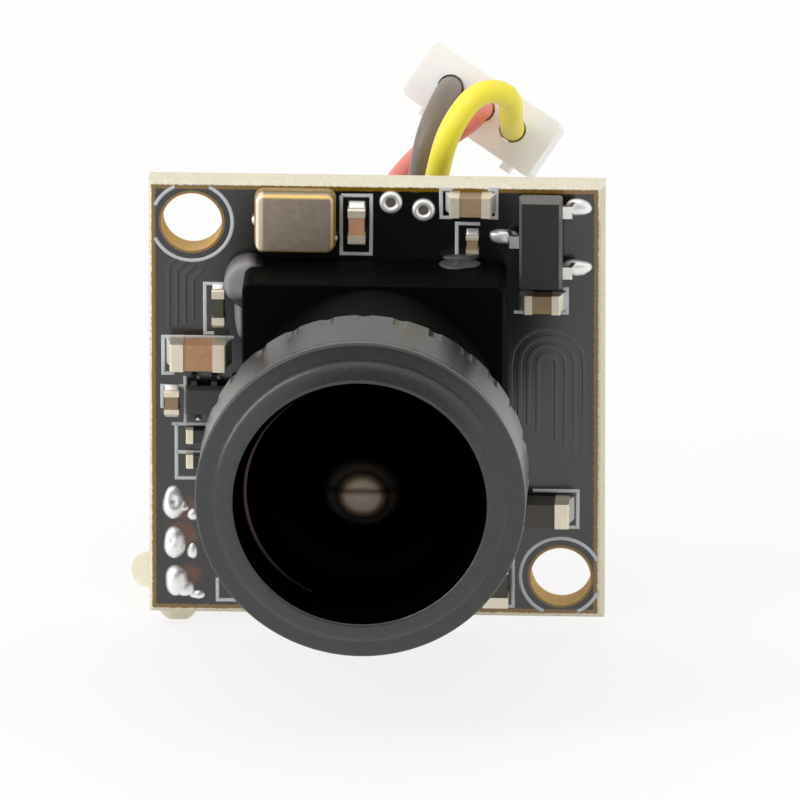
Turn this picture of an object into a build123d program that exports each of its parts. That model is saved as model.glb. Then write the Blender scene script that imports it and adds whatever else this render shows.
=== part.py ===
from build123d import *
from math import cos, pi, radians, sin, tan
import os

os.makedirs("parts", exist_ok=True)

# Small board camera. The origin is the middle of the two mounting holes on the board's back face.
# The lens looks along -Y, +X is to the right of someone who looks into it and +Z is up.
# Heights are measured from the board's front face towards the lens. All sizes are in mm.

# Circuit board
board_size = 15.2
board_t = 1.0
edge_bevel = 0.13
mount_hole_d = 2.0
mount_inset = 1.45

# Image sensor and filter inside the holder
sensor_size = 5.8
sensor_t = 0.9
cover_glass_margin = 0.4
cover_glass_t = 0.4
filter_gap = 0.55
filter_t = 0.3
filter_clear = 0.05

# Lens axis above the middle of the board, and the thread that lens and holder share
lens_z = 0.6
thread_d = 7.0
thread_clear = 0.05

# Lens holder: square block, round collar, lugs with locating pegs
collar_wall = 0.65
collar_len = 4.1
block_margin = 0.15
block_roof = 0.3
block_corner_r = 0.3
holder_edge = 0.05
lug_r = 0.8
lug_h = 0.8
lug_overhang = 0.65
lug_setback = 0.75
peg_d = 0.9
peg_clear = 0.05
sensor_clear = 0.4
filter_shelf = 0.6
window_shelf = 0.4
ledge_t = 0.35

# Adhesive dab against the top side of the holder
dab_x = 2.75
dab_length = 1.3
dab_w = 0.22
dab_h = 0.5
dab_round = 0.12

# Lens barrel
shank_gap = 0.8
shank_wall = 0.75
head_d = 10.9
head_gap = 2.1
head_len = 3.2
barrel_edge = 0.2
front_rim_r = 0.12
lip_t = 0.5
lip_w = 0.85
flute_count = 28
flute_r = 0.45
flute_depth = 0.07
flute_len = 0.9

# Ring that holds the front glass
rim_w = 0.5
ring_depth = 0.9
ring_clear = 0.03
ring_face_w = 0.8
ring_throat_step = 0.25
ring_crown = 0.35
ring_lip = 0.12
ring_shelf = 0.55

# Lens elements, their spacers and the stop
element_clear = 0.05
front_edge_t = 1.6
front_dome = 1.05
front_hollow_margin = 0.35
front_centre_t = 1.1
second_t = 1.3
second_dome = 1.6
second_dome_margin = 0.25
second_hollow = 0.22
stop_t = 0.1
stop_hole_d = 1.8
rear_t = 1.1
rear_dome = 0.3
spacer_wall = 0.7
front_spacer_wall = 0.45
front_spacer_t = 0.5

# The parts round the holder are placed from its sides: side and offset across, side and offset up
# Clock crystal
crystal_place = ("middle", -2.7, "top", 1.4)
crystal_length = 2.7
crystal_w = 2.1
crystal_base_t = 0.3
crystal_lid_t = 0.45
crystal_corner_r = 0.3
lid_inset = 0.05
lid_round = 0.12

# Leaded packages: where they are, body, leads
transistor_place = ("right", 1.15, "top", 0.86)
transistor_w = 1.45
transistor_length = 3.2
transistor_pitch = 2.12
transistor_reach = 1.45
logic_place = ("left", -1.05, "middle", -0.55)
logic_w = 0.98
logic_length = 1.9
logic_pitch = 0.68
logic_reach = 0.78
memory_at = (1.9, -1.2)
memory_w = 3.0
memory_length = 3.0
memory_pitch = 0.65
memory_reach = 2.4
regulator_at = (-1.9, 3.4)
regulator_w = 1.6
regulator_length = 2.9
regulator_pitch = 0.95
regulator_reach = 1.4
package_standoff = 0.1
package_draft = 12
transistor_h = 1.15
logic_h = 0.75
memory_h = 0.95
regulator_h = 1.15
lead_t = 0.13
knee_share = 0.35
heel_share = 0.5
wide_lead_w = 0.42
fine_lead_w = 0.28
logic_lead_w = 0.2

# Chip parts on the front: place, length, width, height, turned upright
front_chips = {
    "crystal_capacitor": ("middle", -0.65, "top", 1.25, 1.24, 0.58, 0.5, True),
    "supply_capacitor": ("middle", 3.15, "top", 2.05, 1.4, 0.7, 0.75, False),
    "bias_capacitor": ("middle", 3.2, "top", 0.62, 0.68, 0.42, 0.35, True),
    "regulator_capacitor": ("right", 1.18, "top", -1.39, 1.25, 0.66, 0.55, False),
    "sensor_capacitor": ("left", -0.92, "top", -1.7, 1.27, 0.42, 0.4, True),
    "bulk_capacitor": ("left", -1.57, "middle", 1.05, 1.88, 0.96, 0.9, False),
    "filter_capacitor": ("left", -2.48, "middle", -0.73, 0.85, 0.5, 0.35, True),
    "upper_resistor": ("left", -1.5, "middle", -1.9, 1.0, 0.48, 0.35, False),
    "lower_resistor": ("left", -1.5, "middle", -2.77, 1.0, 0.48, 0.35, False),
    "ferrite_bead": ("right", 1.12, "bottom", 0.04, 1.98, 0.86, 1.0, False),
    "output_capacitor": ("right", -0.35, "bottom", -2.52, 1.6, 0.85, 0.75, True),
    "video_capacitor": ("left", 0.25, "bottom", -2.55, 1.0, 0.5, 0.45, True),
}
# Chip parts on the back: middle across, middle up, length, width, height, turned upright
rear_chips = {
    "input": (-2.6, 6.3, 1.6, 0.8, 0.8, False),
    "output": (0.9, 4.2, 1.6, 0.8, 0.8, True),
    "reference": (2.6, 4.2, 1.0, 0.5, 0.5, True),
    "upper_bypass": (-2.0, -0.6, 1.0, 0.5, 0.5, False),
    "lower_bypass": (-2.0, -2.0, 1.0, 0.5, 0.5, False),
}
chip_band_share = 0.24
chip_shoulder = 0.03
chip_edge = 0.05

# Test points: plated eyelets, across from the middle and down from the top edge
test_point_insets = [(0.48, 0.65), (1.57, 0.9)]
eyelet_flange_d = 0.77
eyelet_barrel_d = 0.5
eyelet_bore_d = 0.3
eyelet_flange_t = 0.06
eyelet_clear = 0.02

# Wire joints at the lower left of the board, from its left edge and its bottom edge
joint_insets = [(0.82, 3.86), (0.84, 2.45), (0.95, 1.04)]
joint_tail_insets = [(1.42, 3.45), (1.4, 2.1), (1.55, 0.68)]
joint_hole_d = 0.7
joint_clear = 0.05
joint_pad_d = 0.92
joint_foot_t = 0.06
joint_h = 0.42
tail_d = 0.36
tail_h = 0.16

# Wires: straight stubs out of their joints, points of their routes, and the plug that they end in
wire_d = 0.8
wire_stub = {"wire_red": 3.2, "wire_black": 3.2, "wire_yellow": 2.8}
wire_corner_share = 0.45
wire_routes = {
    "wire_red": [
        (-6.7, 7.2, -3.6), (-6.1, 11.0, -2.4), (-4.6, 13.2, 0.0), (-2.7, 12.6, 2.3), (-1.3, 9.8, 3.5),
        (-0.1, 7.0, 4.4), (0.75, 5.5, 6.0), (1.7, 4.6, 7.2), (2.8, 4.55, 7.9),
    ],
    "wire_black": [
        (-6.2, 7.2, -4.9), (-5.0, 10.6, -3.4), (-3.0, 11.4, -0.2), (-1.1, 9.0, 2.4), (0.4, 5.9, 3.8),
        (1.2, 3.6, 5.9), (1.5, 3.3, 8.0),
    ],
    "wire_yellow": [
        (-5.6, 6.2, -6.3), (-3.8, 8.8, -4.2), (-1.7, 9.2, -0.4), (0.35, 6.4, 2.2), (1.55, 3.7, 4.8),
        (1.9, 2.4, 7.0), (2.3, 2.2, 8.5), (3.2, 2.8, 9.65), (4.3, 3.65, 9.3),
    ],
}
plug_at = (3.19, 6.5, 7.8)
plug_pitch_deg = 20
plug_roll_deg = 33
plug_length = 5.1
plug_t = 2.1
plug_depth = 4.3
plug_edge = 0.15
contact_pitch = 1.25
wire_entry_d = 0.9
wire_entry_depth = 0.4
wire_leadin = {"wire_red": 1.0, "wire_black": 1.3, "wire_yellow": 1.5}
contact_row = {"wire_black": -1, "wire_red": 0, "wire_yellow": 1}
contact_w = 0.7
contact_h = 0.9
contact_clear = 0.05
contact_setback = 0.3
socket_w = 0.4
socket_depth = 2.0
rib_spacing = 3.25
rib_w = 0.35
rib_h = 0.25
rib_len = 1.8
latch_w = 0.5
latch_len = 0.9
latch_from_rear = 1.5

# Glue over the wire joints on the back, placed as they are; its lobes have their radii too
glue_inset = (0.9, 2.45)
glue_length = 4.5
glue_w = 1.7
glue_t = 1.3
glue_lobes = [(0.0, 1.15, 0.66), (0.9, 0.05, 0.7)]
glue_lobe_t = 0.8
glue_lobe_draft = 15
glue_round = 0.35
glue_wire_clear = 0.03

# Frames: the front face, the back face, the lens on the front face and the lens section
front = Plane(origin=(0, -board_t, 0), x_dir=(1, 0, 0), z_dir=(0, -1, 0))
back = Plane(origin=(0, 0, 0), x_dir=(-1, 0, 0), z_dir=(0, 1, 0))
lens_front = Plane(origin=(0, -board_t, lens_z), x_dir=(1, 0, 0), z_dir=(0, -1, 0))
lens_section = Plane(origin=(0, -board_t, lens_z), x_dir=(1, 0, 0), z_dir=(0, 0, -1))
lens_axis = Axis((0, -board_t, lens_z), (0, -1, 0))

# The plug's frame: x along the row of contacts, z into the plug
plug_into = Vector(0, cos(radians(plug_pitch_deg)), -sin(radians(plug_pitch_deg)))
plug_up = Vector(0, sin(radians(plug_pitch_deg)), cos(radians(plug_pitch_deg)))
plug_row = Vector(1, 0, 0) * cos(radians(plug_roll_deg)) - plug_up * sin(radians(plug_roll_deg))
plug_frame = Plane(origin=plug_at, x_dir=plug_row, z_dir=plug_into)

# Sizes and places that follow
board_half = board_size / 2
mount_reach = board_half - mount_inset
mount_holes_at = [(-mount_reach, mount_reach), (mount_reach, -mount_reach)]
test_points_at = [(x, board_half - inset) for x, inset in test_point_insets]
joints_at = [(x - board_half, z - board_half) for x, z in joint_insets]
joint_tails_at = [(x - board_half, z - board_half) for x, z in joint_tail_insets]
glue_at = (glue_inset[0] - board_half, glue_inset[1] - board_half)
glue_lobes_at = [(x - board_half, z - board_half, radius) for x, z, radius in glue_lobes]
cover_glass_size = sensor_size - 2 * cover_glass_margin
pocket_size = sensor_size + 2 * sensor_clear
pocket_h = sensor_t + cover_glass_t + filter_gap
filter_size = pocket_size - 2 * filter_shelf
filter_seat_h = pocket_h + filter_t
window_d = filter_size - 2 * window_shelf
bore_floor_h = filter_seat_h + ledge_t
collar_d = thread_d + 2 * (thread_clear + collar_wall)
block_size = collar_d + 2 * block_margin
block_h = bore_floor_h + block_roof
sides_across = {"left": -block_size / 2, "middle": 0, "right": block_size / 2}
sides_up = {"bottom": lens_z - block_size / 2, "middle": lens_z, "top": lens_z + block_size / 2}
collar_h = block_h + collar_len
lug_reach = block_size / 2 + lug_overhang - lug_r
lugs_at = [(-lug_reach, block_size / 2 - lug_setback), (block_size / 2 - lug_setback, -lug_reach)]
shank_rear_h = bore_floor_h + shank_gap
head_rear_h = collar_h + head_gap
head_front_h = head_rear_h + head_len
ring_seat_h = head_front_h - ring_depth
front_seat_h = ring_seat_h - front_edge_t
ring_seat_d = head_d - 2 * rim_w
ring_opening_d = ring_seat_d - 2 * ring_face_w
ring_throat_d = ring_opening_d - 2 * ring_throat_step
front_seat_d = ring_seat_d - 2 * ring_shelf
lens_bore_d = thread_d - 2 * shank_wall
rear_window_d = lens_bore_d - 2 * lip_w
front_hollow_d = lens_bore_d - 2 * front_hollow_margin


def beside_holder(side_across, across, side_up, up):
    return (sides_across[side_across] + across, sides_up[side_up] + up)


def save(piece, name):
    piece.part.label = name
    export_step(piece.part, f"parts/{name}.step")


# Circuit board: scored edges, mounting holes, wire holes, test holes and peg holes
with BuildPart() as circuit_board:
    with BuildSketch(front):
        Rectangle(board_size, board_size)
        with Locations(*mount_holes_at):
            Circle(mount_hole_d / 2, mode=Mode.SUBTRACT)
        with Locations(*joints_at):
            Circle(joint_hole_d / 2, mode=Mode.SUBTRACT)
        with Locations(*test_points_at):
            Circle(eyelet_barrel_d / 2 + eyelet_clear, mode=Mode.SUBTRACT)
        with Locations(*[(x, z + lens_z) for x, z in lugs_at]):
            Circle(peg_d / 2 + peg_clear, mode=Mode.SUBTRACT)
    extrude(amount=-board_t)
    faces = circuit_board.faces().filter_by(Axis.Y).sort_by(Axis.Y)
    chamfer(faces[0].outer_wire().edges() + faces[-1].outer_wire().edges(), length=edge_bevel)
save(circuit_board, "circuit_board")

# Lens holder
with BuildPart() as lens_holder:
    with BuildSketch(lens_front):
        RectangleRounded(block_size, block_size, block_corner_r)
    extrude(amount=block_h)
    chamfer(lens_holder.faces().sort_by(Axis.Y)[0].edges(), length=holder_edge)
    with BuildSketch(lens_front):
        Circle(collar_d / 2)
    extrude(amount=collar_h)
    chamfer(lens_holder.faces().sort_by(Axis.Y)[0].edges(), length=holder_edge)
    with BuildSketch(lens_front):
        with Locations(*lugs_at):
            Circle(lug_r)
    extrude(amount=lug_h)
    with BuildSketch(lens_front):
        with Locations(*lugs_at):
            Circle(peg_d / 2)
    extrude(amount=-board_t)
    with BuildSketch(lens_front):
        Rectangle(pocket_size, pocket_size)
    extrude(amount=pocket_h, mode=Mode.SUBTRACT)
    with BuildSketch(lens_front):
        Rectangle(filter_size + 2 * filter_clear, filter_size + 2 * filter_clear)
    extrude(amount=filter_seat_h, mode=Mode.SUBTRACT)
    with BuildSketch(lens_front):
        Circle(window_d / 2)
    extrude(amount=bore_floor_h, mode=Mode.SUBTRACT)
    with BuildSketch(lens_front.offset(bore_floor_h)):
        Circle(thread_d / 2 + thread_clear)
    extrude(amount=collar_h - bore_floor_h, mode=Mode.SUBTRACT)
save(lens_holder, "lens_holder")

# Adhesive dab on the board against the holder's top side
with BuildPart() as holder_adhesive:
    with BuildSketch(front):
        with Locations((dab_x, lens_z + block_size / 2 + dab_w / 2)):
            Rectangle(dab_length, dab_w)
    extrude(amount=dab_h)
    fillet(holder_adhesive.faces().sort_by(Axis.Y)[0].edges().sort_by(Axis.Z)[-1], radius=dab_round)
    chamfer(holder_adhesive.faces().sort_by(Axis.X)[0].edges().sort_by(Axis.Z)[-1], length=dab_round / 2)
save(holder_adhesive, "holder_adhesive")

# Image sensor, its cover glass and the filter under the lens
with BuildPart() as image_sensor:
    with BuildSketch(lens_front):
        Rectangle(sensor_size, sensor_size)
    extrude(amount=sensor_t)
save(image_sensor, "image_sensor")

with BuildPart() as sensor_cover_glass:
    with BuildSketch(lens_front.offset(sensor_t)):
        Rectangle(cover_glass_size, cover_glass_size)
    extrude(amount=cover_glass_t)
save(sensor_cover_glass, "sensor_cover_glass")

with BuildPart() as ir_filter:
    with BuildSketch(lens_front.offset(pocket_h)):
        Rectangle(filter_size, filter_size)
    extrude(amount=filter_t)
save(ir_filter, "ir_filter")

# Lens barrel: threaded shank and head in one turned piece
thread_r = thread_d / 2
head_r = head_d / 2
lens_bore_r = lens_bore_d / 2
lip_h = shank_rear_h + lip_t
with BuildPart() as lens_barrel:
    with BuildSketch(lens_section):
        with BuildLine():
            Polyline(
                (rear_window_d / 2, shank_rear_h),
                (thread_r - barrel_edge, shank_rear_h),
                (thread_r, shank_rear_h + barrel_edge),
                (thread_r, head_rear_h),
                (head_r - barrel_edge, head_rear_h),
                (head_r, head_rear_h + barrel_edge),
                (head_r, head_front_h - front_rim_r),
            )
            RadiusArc(
                (head_r, head_front_h - front_rim_r),
                (head_r - front_rim_r, head_front_h),
                front_rim_r,
                short_sagitta=True,
            )
            Polyline(
                (head_r - front_rim_r, head_front_h),
                (ring_seat_d / 2, head_front_h),
                (ring_seat_d / 2, ring_seat_h),
                (front_seat_d / 2, ring_seat_h),
                (front_seat_d / 2, front_seat_h),
                (lens_bore_r, front_seat_h),
                (lens_bore_r, lip_h),
                (rear_window_d / 2, lip_h),
                (rear_window_d / 2, shank_rear_h),
            )
        make_face()
    revolve(axis=lens_axis)
    # Grip flutes round the rear edge of the head
    with BuildSketch(lens_front.offset(head_rear_h)):
        with PolarLocations(head_r + flute_r - flute_depth, flute_count):
            Circle(flute_r)
    extrude(amount=flute_len, mode=Mode.SUBTRACT)
save(lens_barrel, "lens_barrel")

# Front ring: crowned face, flared throat
ring_r = ring_seat_d / 2 - ring_clear
with BuildPart() as lens_front_ring:
    with BuildSketch(lens_section):
        with BuildLine():
            Polyline(
                (ring_throat_d / 2, ring_seat_h),
                (ring_r, ring_seat_h),
                (ring_r, head_front_h),
                (ring_opening_d / 2 + ring_lip, head_front_h + ring_crown),
                (ring_opening_d / 2, head_front_h + ring_crown - ring_lip / 2),
                (ring_throat_d / 2, ring_seat_h + ring_crown),
                close=True,
            )
        make_face()
    revolve(axis=lens_axis)
save(lens_front_ring, "lens_front_ring")

# Front glass: domed front, hollow back
front_element_r = front_seat_d / 2 - element_clear
front_apex_h = ring_seat_h + front_dome
with BuildPart() as front_element:
    with BuildSketch(lens_section):
        with BuildLine():
            TangentArc((0, front_apex_h), (ring_throat_d / 2, ring_seat_h), tangent=(1, 0))
            Polyline(
                (ring_throat_d / 2, ring_seat_h),
                (front_element_r, ring_seat_h),
                (front_element_r, front_seat_h),
                (front_hollow_d / 2, front_seat_h),
            )
            TangentArc((0, front_apex_h - front_centre_t), (front_hollow_d / 2, front_seat_h), tangent=(1, 0))
            Line((0, front_apex_h - front_centre_t), (0, front_apex_h))
        make_face()
    revolve(axis=lens_axis)
save(front_element, "front_element")

# Inner stack from the front: spacer ring, second glass, stop, long spacer, rear glass on the lip
stack_r = lens_bore_r - element_clear
second_front_h = front_seat_h - front_spacer_t
second_rear_h = second_front_h - second_t
stop_rear_h = second_rear_h - stop_t
rear_front_h = lip_h + rear_t


def ring(low_h, high_h, outer_r, inner_r):
    with BuildPart() as piece:
        with BuildSketch(lens_front.offset(low_h)):
            Circle(outer_r)
            Circle(inner_r, mode=Mode.SUBTRACT)
        extrude(amount=high_h - low_h)
    return piece


def domed_glass(low_h, high_h, front_sag, rear_sag, front_edge_r, rear_edge_r):
    with BuildPart() as piece:
        with BuildSketch(lens_section):
            with BuildLine():
                TangentArc((0, high_h + front_sag), (front_edge_r, high_h), tangent=(1, 0))
                Polyline((front_edge_r, high_h), (stack_r, high_h), (stack_r, low_h), (rear_edge_r, low_h))
                TangentArc((0, low_h - rear_sag), (rear_edge_r, low_h), tangent=(1, 0))
                Line((0, low_h - rear_sag), (0, high_h + front_sag))
            make_face()
        revolve(axis=lens_axis)
    return piece


front_spacer_r = stack_r - front_spacer_wall
spacer_r = stack_r - spacer_wall
save(ring(second_front_h, front_seat_h, stack_r, front_spacer_r), "front_spacer")
save(
    domed_glass(
        second_rear_h, second_front_h, second_dome, -second_hollow,
        front_spacer_r - second_dome_margin, spacer_r,
    ),
    "second_element",
)
save(ring(stop_rear_h, second_rear_h, stack_r, stop_hole_d / 2), "aperture_stop")
save(ring(rear_front_h, stop_rear_h, stack_r, spacer_r), "rear_spacer")
save(domed_glass(lip_h, rear_front_h, rear_dome, rear_dome, spacer_r, rear_window_d / 2), "rear_element")

# Clock crystal: ceramic base and soft-edged metal lid
crystal_at = beside_holder(*crystal_place)
with BuildPart() as crystal_base:
    with BuildSketch(front):
        with Locations(crystal_at):
            RectangleRounded(crystal_length, crystal_w, crystal_corner_r)
    extrude(amount=crystal_base_t)
save(crystal_base, "crystal_base")

with BuildPart() as crystal_lid:
    with BuildSketch(front.offset(crystal_base_t)):
        with Locations(crystal_at):
            RectangleRounded(
                crystal_length - 2 * lid_inset,
                crystal_w - 2 * lid_inset,
                crystal_corner_r - lid_inset,
            )
    extrude(amount=crystal_lid_t)
    fillet(crystal_lid.faces().sort_by(Axis.Y)[0].edges(), radius=lid_round)
save(crystal_lid, "crystal_lid")


# Leaded packages: a drafted moulded body with bent leads. The face plane carries the package,
# across is the direction of the leads and the length runs along the row of leads.
def package_body(plane, width, length, height):
    waist_h = (package_standoff + height) / 2
    with BuildPart() as piece:
        with BuildSketch(plane.offset(waist_h)):
            Rectangle(width, length)
        extrude(amount=height - waist_h, taper=package_draft)
        with BuildSketch(plane.offset(waist_h)):
            Rectangle(width, length)
        extrude(amount=package_standoff - waist_h, taper=package_draft)
    return piece


def package_leads(plane, width, height, reach, lead_w, left_rows, right_rows):
    waist_h = (package_standoff + height) / 2
    knee = width / 2 + knee_share * (reach - width / 2)
    heel = width / 2 + heel_share * (reach - width / 2)
    with BuildPart() as piece:
        for side, rows in ((-1, left_rows), (1, right_rows)):
            for row in rows:
                section = Plane(
                    origin=plane.origin + plane.y_dir * row,
                    x_dir=plane.x_dir,
                    z_dir=plane.x_dir.cross(plane.z_dir),
                )
                with BuildSketch(section):
                    with BuildLine():
                        Polyline(
                            (side * width / 2, waist_h - lead_t / 2),
                            (side * width / 2, waist_h + lead_t / 2),
                            (side * (knee + lead_t / 2), waist_h + lead_t / 2),
                            (side * (heel + lead_t / 2), lead_t),
                            (side * reach, lead_t),
                            (side * reach, 0),
                            (side * (heel - lead_t / 2), 0),
                            (side * (knee - lead_t / 2), waist_h - lead_t / 2),
                            close=True,
                        )
                    make_face()
                extrude(amount=lead_w / 2, both=True)
    return piece


def on_face(face, at, upright=False):
    along = face.y_dir if upright else face.x_dir
    return Plane(origin=face.origin + Vector(at[0], 0, at[1]), x_dir=along, z_dir=face.z_dir)


transistor_face = on_face(front, beside_holder(*transistor_place))
save(package_body(transistor_face, transistor_w, transistor_length, transistor_h), "transistor_body")
save(
    package_leads(
        transistor_face, transistor_w, transistor_h, transistor_reach, wide_lead_w,
        [0], [-transistor_pitch / 2, transistor_pitch / 2],
    ),
    "transistor_leads",
)

logic_face = on_face(front, beside_holder(*logic_place), upright=True)
logic_rows = [-logic_pitch, 0, logic_pitch]
save(package_body(logic_face, logic_w, logic_length, logic_h), "logic_chip_body")
save(
    package_leads(logic_face, logic_w, logic_h, logic_reach, logic_lead_w, logic_rows, logic_rows),
    "logic_chip_leads",
)

memory_face = on_face(back, memory_at)
memory_rows = [memory_pitch * step for step in (-1.5, -0.5, 0.5, 1.5)]
save(package_body(memory_face, memory_w, memory_length, memory_h), "memory_chip_body")
save(
    package_leads(memory_face, memory_w, memory_h, memory_reach, fine_lead_w, memory_rows, memory_rows),
    "memory_chip_leads",
)

regulator_face = on_face(back, regulator_at)
regulator_ends = [-regulator_pitch, regulator_pitch]
regulator_rows = [-regulator_pitch, 0, regulator_pitch]
save(package_body(regulator_face, regulator_w, regulator_length, regulator_h), "rear_regulator_body")
save(
    package_leads(
        regulator_face, regulator_w, regulator_h, regulator_reach, wide_lead_w,
        regulator_ends, regulator_rows,
    ),
    "rear_regulator_leads",
)


# Chip parts: a ceramic block between two plated ends that stand a little proud of it
def chip_bodies(face, chips):
    with BuildPart() as piece:
        for x, z, length, width, height, upright in chips:
            with BuildSketch(on_face(face, (x, z), upright)):
                Rectangle(length * (1 - 2 * chip_band_share), width - 2 * chip_shoulder)
            extrude(amount=height - chip_shoulder)
    return piece


def chip_terminals(face, chips):
    with BuildPart() as piece:
        for x, z, length, width, height, upright in chips:
            band = chip_band_share * length
            place = on_face(face, (x, z), upright)
            for side in (-1, 1):
                with BuildSketch(place):
                    with Locations((side * (length - band) / 2, 0)):
                        Rectangle(band, width)
                extrude(amount=height)
                top_edges = piece.edges(Select.LAST).group_by(Axis(place.origin, place.z_dir))[-1]
                chamfer(top_edges.sort_by(Axis(place.origin, place.x_dir * side))[-1], length=chip_edge)
    return piece


for name, (side_across, across, side_up, up, *form) in front_chips.items():
    chip = (*beside_holder(side_across, across, side_up, up), *form)
    save(chip_bodies(front, [chip]), f"{name}_body")
    save(chip_terminals(front, [chip]), f"{name}_terminals")
save(chip_bodies(back, rear_chips.values()), "rear_capacitor_bodies")
save(chip_terminals(back, rear_chips.values()), "rear_capacitor_terminals")

# Test points: eyelets with a front flange
with BuildPart() as test_points:
    with BuildSketch(front):
        with Locations(*test_points_at):
            Circle(eyelet_flange_d / 2)
    extrude(amount=eyelet_flange_t)
    with BuildSketch(front):
        with Locations(*test_points_at):
            Circle(eyelet_barrel_d / 2)
    extrude(amount=-board_t)
    with BuildSketch(front.offset(eyelet_flange_t)):
        with Locations(*test_points_at):
            Circle(eyelet_bore_d / 2)
    extrude(amount=-(board_t + eyelet_flange_t), mode=Mode.SUBTRACT)
save(test_points, "test_points")

# Wire joints: solder that fills the hole and stands in a bell on the front, and small tails beside
plug_r = joint_hole_d / 2 - joint_clear
with BuildPart() as wire_solder_joints:
    for x, z in joints_at:
        spot = Plane(origin=(x, -board_t, z), x_dir=(1, 0, 0), z_dir=(0, 0, -1))
        with BuildSketch(spot):
            with BuildLine():
                Polyline(
                    (0, joint_h),
                    (0, -board_t),
                    (plug_r, -board_t),
                    (plug_r, 0),
                    (joint_pad_d / 2, 0),
                    (joint_pad_d / 2, joint_foot_t),
                )
                TangentArc((0, joint_h), (joint_pad_d / 2, joint_foot_t), tangent=(1, 0))
            make_face()
        revolve(axis=Axis((x, -board_t, z), (0, -1, 0)))
    for x, z in joint_tails_at:
        spot = Plane(origin=(x, -board_t, z), x_dir=(1, 0, 0), z_dir=(0, 0, -1))
        with BuildSketch(spot):
            with BuildLine():
                Polyline((0, tail_h), (0, 0), (tail_d / 2, 0))
                TangentArc((0, tail_h), (tail_d / 2, 0), tangent=(1, 0))
            make_face()
        revolve(axis=Axis((x, -board_t, z), (0, -1, 0)))
save(wire_solder_joints, "wire_solder_joints")


# Wires: straight runs and tangent arcs from the back of the board to the contacts in the plug
wire_joint = dict(zip(wire_routes, joints_at))


def wire_points(name):
    x, z = wire_joint[name]
    stub = [Vector(x, 0, z), Vector(x, wire_stub[name], z)]
    entry = Vector(*plug_at) + plug_row * (contact_row[name] * contact_pitch)
    lead = [entry - plug_into * wire_leadin[name], entry + plug_into * wire_entry_depth]
    return stub + [Vector(*point) for point in wire_routes[name]] + lead


def corner_radii(points):
    radii = []
    for before, corner, after in zip(points, points[1:], points[2:]):
        turn = radians((corner - before).get_angle(after - corner))
        run = min((corner - before).length, (after - corner).length)
        radii.append(wire_corner_share * run / tan(turn / 2))
    return radii


for name in wire_routes:
    points = wire_points(name)
    radii = corner_radii(points)
    with BuildPart() as wire:
        with BuildLine() as route:
            FilletPolyline(*points, radius=radii)
        with BuildSketch(Plane(origin=points[0], z_dir=points[1] - points[0])):
            Circle(wire_d / 2)
        sweep(path=route.wires()[0])
    save(wire, name)
    length = route.wires()[0].length
    print(name, "length", round(length, 2), "radii", [round(radius, 2) for radius in radii])
    swept = pi * wire_d**2 / 4 * length
    print(name, "volume", round(wire.part.volume, 3), "section x length", round(swept, 3))

# Plug housing: wire holes at the rear, contact cavities, ribs and latch windows
contacts_at = [(step * contact_pitch, 0) for step in (-1, 0, 1)]
cavity_w = contact_w + 2 * contact_clear
cavity_h = contact_h + 2 * contact_clear
with BuildPart() as plug_housing:
    with BuildSketch(plug_frame):
        Rectangle(plug_length, plug_t)
    extrude(amount=plug_depth)
    chamfer(plug_housing.edges().filter_by(Axis(plug_at, plug_into)), length=plug_edge)
    with BuildSketch(plug_frame):
        with Locations(*contacts_at):
            Circle(wire_entry_d / 2)
    extrude(amount=wire_entry_depth, mode=Mode.SUBTRACT)
    with BuildSketch(plug_frame.offset(wire_entry_depth)):
        with Locations(*contacts_at):
            Rectangle(cavity_w, cavity_h)
    extrude(amount=plug_depth - wire_entry_depth, mode=Mode.SUBTRACT)
    with BuildSketch(plug_frame.offset(plug_depth - rib_len)):
        with Locations(*[(side * rib_spacing / 2, (plug_t + rib_h) / 2) for side in (-1, 1)]):
            Rectangle(rib_w, rib_h)
    extrude(amount=rib_len)
    with BuildSketch(plug_frame.offset(latch_from_rear)):
        with Locations(*[(x, (plug_t + cavity_h) / 4) for x, _ in contacts_at]):
            Rectangle(latch_w, (plug_t - cavity_h) / 2)
    extrude(amount=latch_len, mode=Mode.SUBTRACT)
save(plug_housing, "plug_housing")

# Contacts: each rests on the floor of its cavity and meets the end of its wire
with BuildPart() as plug_terminals:
    with BuildSketch(plug_frame.offset(wire_entry_depth)):
        with Locations(*[(x, -contact_clear) for x, _ in contacts_at]):
            Rectangle(contact_w, contact_h)
    extrude(amount=plug_depth - wire_entry_depth - contact_setback)
    with BuildSketch(plug_frame.offset(plug_depth - contact_setback)):
        with Locations(*[(x, -contact_clear) for x, _ in contacts_at]):
            Rectangle(socket_w, socket_w)
    extrude(amount=-socket_depth, mode=Mode.SUBTRACT)
save(plug_terminals, "plug_terminals")

# Glue on the back: one soft lump with a lobe past the left edge and a foot below the bottom edge
with BuildPart() as wire_glue:
    with BuildSketch(on_face(back, glue_at)):
        SlotOverall(glue_length, glue_w, rotation=90)
    extrude(amount=glue_t)
    fillet(wire_glue.faces().sort_by(Axis.Y)[-1].edges(), radius=glue_round)
    for x, z, radius in glue_lobes_at:
        with BuildSketch(on_face(back, (x, z))):
            Circle(radius)
        extrude(amount=glue_lobe_t, taper=glue_lobe_draft)
    for name in wire_routes:
        points = wire_points(name)
        with BuildSketch(Plane(origin=points[0], z_dir=points[1] - points[0])):
            Circle(wire_d / 2 + glue_wire_clear)
        extrude(amount=glue_t + glue_wire_clear, mode=Mode.SUBTRACT)
save(wire_glue, "wire_glue")
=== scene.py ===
import math

import bmesh
import bpy
from mathutils import Matrix, Quaternion, Vector


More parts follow.
